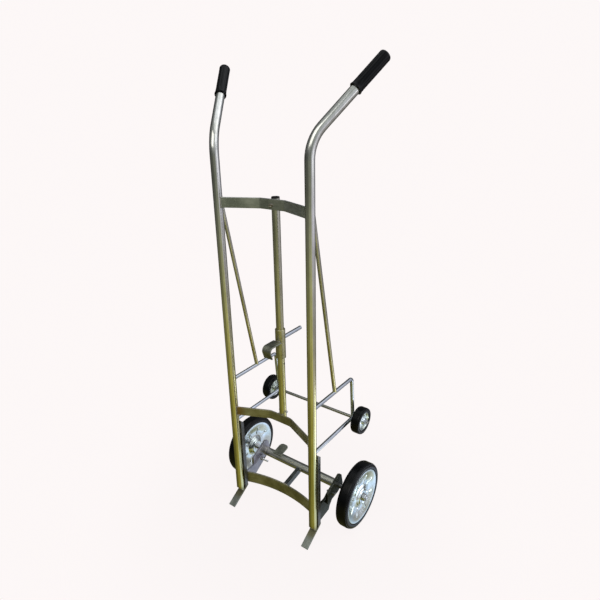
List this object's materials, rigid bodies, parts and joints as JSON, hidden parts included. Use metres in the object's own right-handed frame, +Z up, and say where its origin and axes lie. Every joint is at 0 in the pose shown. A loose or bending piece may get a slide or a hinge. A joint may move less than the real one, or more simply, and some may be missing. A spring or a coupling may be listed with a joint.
{
  "type": "drum dolly",
  "caption": "Tall two-handled drum dolly of plated steel tube with bowed crossbars, toe bars, a sliding rim hook, main wheels and small trailing wheels.",
  "frame": {"origin": "on the floor, in the middle of the dolly's footprint box", "axes": "+Y from the drum side to the trailing wheels, +Z up, +X to the right of someone who faces along +Y, standing on the drum side"},
  "size_m": [0.6334, 0.3898, 1.6561],
  "materials": {
    "plated_tube": "zinc plated steel tube, slightly yellowed, satin",
    "plated_bar": "zinc plated flat bar and plate, dull, heat tinted by its welds",
    "plated_rod": "zinc plated round rod, satin",
    "fastener": "bright zinc plated fasteners and axle",
    "zinc_hub": "pressed steel wheel discs, bright spangled zinc",
    "cap": "black plastic tube cap",
    "bush": "dark plastic plain bearing",
    "grip": "black ribbed rubber handle grip",
    "tyre": "solid black rubber tyre, semi-gloss"
  },
  "bodies": {
    "frame": {"upright_left": "plated_tube", "upright_right": "plated_tube", "centre_tube": "plated_tube", "axle_tube": "plated_tube", "grip_left": "grip", "grip_right": "grip", "upper_crossbar": "plated_bar", "middle_crossbar": "plated_bar", "lower_crossbar": "plated_bar", "leg_bar_left": "plated_bar", "leg_bar_right": "plated_bar", "toe_bar_left": "plated_bar", "toe_bar_right": "plated_bar", "axle_arm_left": "plated_bar", "axle_arm_right": "plated_bar", "arm_bracket_left": "plated_bar", "arm_bracket_right": "plated_bar", "centre_link": "plated_bar", "foot_pedal": "plated_bar", "rear_rod_left": "plated_rod", "rear_rod_right": "plated_rod", "lower_rod_left": "plated_rod", "lower_rod_right": "plated_rod", "stay_left": "plated_rod", "stay_right": "plated_rod", "rear_axle": "plated_rod", "arm_bolt_left": "fastener", "arm_bolt_right": "fastener", "arm_nut_left": "fastener", "arm_nut_right": "fastener", "main_washers_left": "fastener", "main_washers_right": "fastener", "main_nut_left": "fastener", "main_nut_right": "fastener", "rear_washers_left": "fastener", "rear_washers_right": "fastener", "rear_nut_left": "fastener", "rear_nut_right": "fastener", "stop_pin": "fastener", "main_axle": "fastener", "centre_tube_cap": "cap"},
    "hook": {"hook_sleeve": "plated_rod", "hook_plate": "plated_bar", "hook_handle": "plated_rod"},
    "main_wheel_left": {"main_tyre_left": "tyre", "main_hub_outer_left": "zinc_hub", "main_hub_inner_left": "zinc_hub", "main_bush_left": "bush"},
    "rear_wheel_left": {"rear_tyre_left": "tyre", "rear_hub_left": "zinc_hub", "rear_bush_left": "bush"},
    "main_wheel_right": {"main_tyre_right": "tyre", "main_hub_outer_right": "zinc_hub", "main_hub_inner_right": "zinc_hub", "main_bush_right": "bush"},
    "rear_wheel_right": {"rear_tyre_right": "tyre", "rear_hub_right": "zinc_hub", "rear_bush_right": "bush"}
  },
  "joints": [
    {"name": "hook_slide", "type": "slide", "parent": "frame", "child": "hook", "axis": [0, 0, 1], "range_m": [-0.22, 0.41]},
    {"name": "main_wheel_left_spin", "type": "hinge", "parent": "frame", "child": "main_wheel_left", "pos_m": [-0.272, 0.04157, 0.129], "axis": [1, 0, 0], "continuous": true},
    {"name": "rear_wheel_left_spin", "type": "hinge", "parent": "frame", "child": "rear_wheel_left", "pos_m": [-0.2193, 0.14227, 0.391], "axis": [1, 0, 0], "continuous": true},
    {"name": "main_wheel_right_spin", "type": "hinge", "parent": "frame", "child": "main_wheel_right", "pos_m": [0.272, 0.04157, 0.129], "axis": [1, 0, 0], "continuous": true},
    {"name": "rear_wheel_right_spin", "type": "hinge", "parent": "frame", "child": "rear_wheel_right", "pos_m": [0.2193, 0.14227, 0.391], "axis": [1, 0, 0], "continuous": true}
  ]
}
